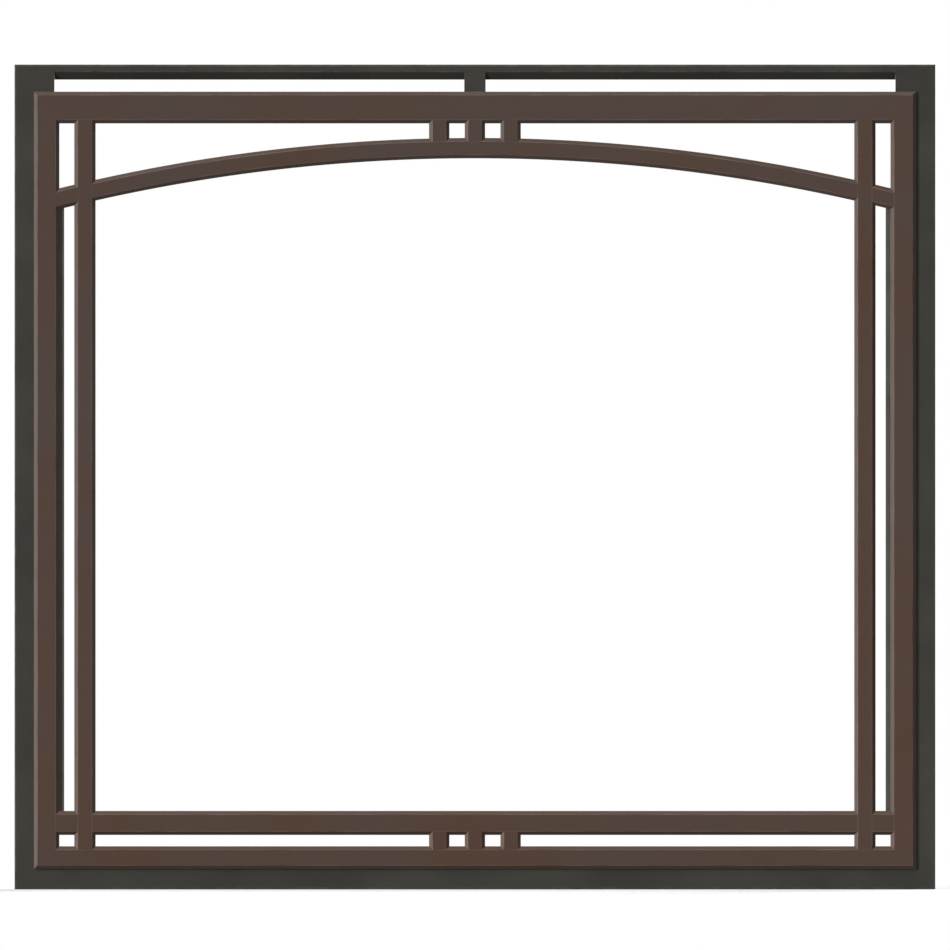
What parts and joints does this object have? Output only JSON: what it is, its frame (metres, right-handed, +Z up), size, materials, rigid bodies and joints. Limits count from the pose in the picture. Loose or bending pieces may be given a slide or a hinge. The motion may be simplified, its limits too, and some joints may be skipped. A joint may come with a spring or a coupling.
{
  "type": "fireplace front",
  "caption": "Sheet-steel surround with a warm-air slot and a lift-off bronze bar face with an arched lattice, which trims the opening of a gas fireplace.",
  "frame": {"origin": "centre of the four firebox screw holes, on the rear plane that seats on the firebox", "axes": "+X to the viewer's right, +Y from the room into the firebox, +Z up"},
  "size_m": [1.016, 0.0403, 0.91],
  "materials": {
    "charcoal_sheet": "charcoal powder coat with a fine texture, on folded steel sheet",
    "bronze_bar": "dark bronze satin coat on flat steel bar",
    "charcoal_rim": "charcoal powder coat on thin flat bar",
    "zinc_hardware": "bright zinc plate"
  },
  "bodies": {
    "surround": {"surround_left_stile": "charcoal_sheet", "surround_right_stile": "charcoal_sheet", "surround_top_rail": "charcoal_sheet", "surround_header": "charcoal_sheet", "surround_bottom_rail": "charcoal_sheet", "vent_strut": "charcoal_sheet", "top_splice_plates": "charcoal_sheet", "header_splice_plates": "charcoal_sheet", "bottom_splice_plates": "charcoal_sheet"},
    "face_frame": {"face_top_rail": "bronze_bar", "face_bottom_rail": "bronze_bar", "face_left_stile": "bronze_bar", "face_right_stile": "bronze_bar", "left_mullion": "bronze_bar", "right_mullion": "bronze_bar", "arch_bar": "bronze_bar", "sill_bar": "bronze_bar", "top_strut_left": "bronze_bar", "top_strut_centre": "bronze_bar", "top_strut_right": "bronze_bar", "bottom_strut_left": "bronze_bar", "bottom_strut_centre": "bronze_bar", "bottom_strut_right": "bronze_bar", "rim_arch_head": "charcoal_rim", "rim_left_leg": "charcoal_rim", "rim_right_leg": "charcoal_rim", "rim_bottom_leg": "charcoal_rim", "hanger_studs": "zinc_hardware", "rim_screws": "zinc_hardware"}
  },
  "joints": [
    {"name": "face_lift", "type": "slide", "parent": "surround", "child": "face_frame", "axis": [0, 0, 1], "range_m": [0, 0.012]}
  ]
}
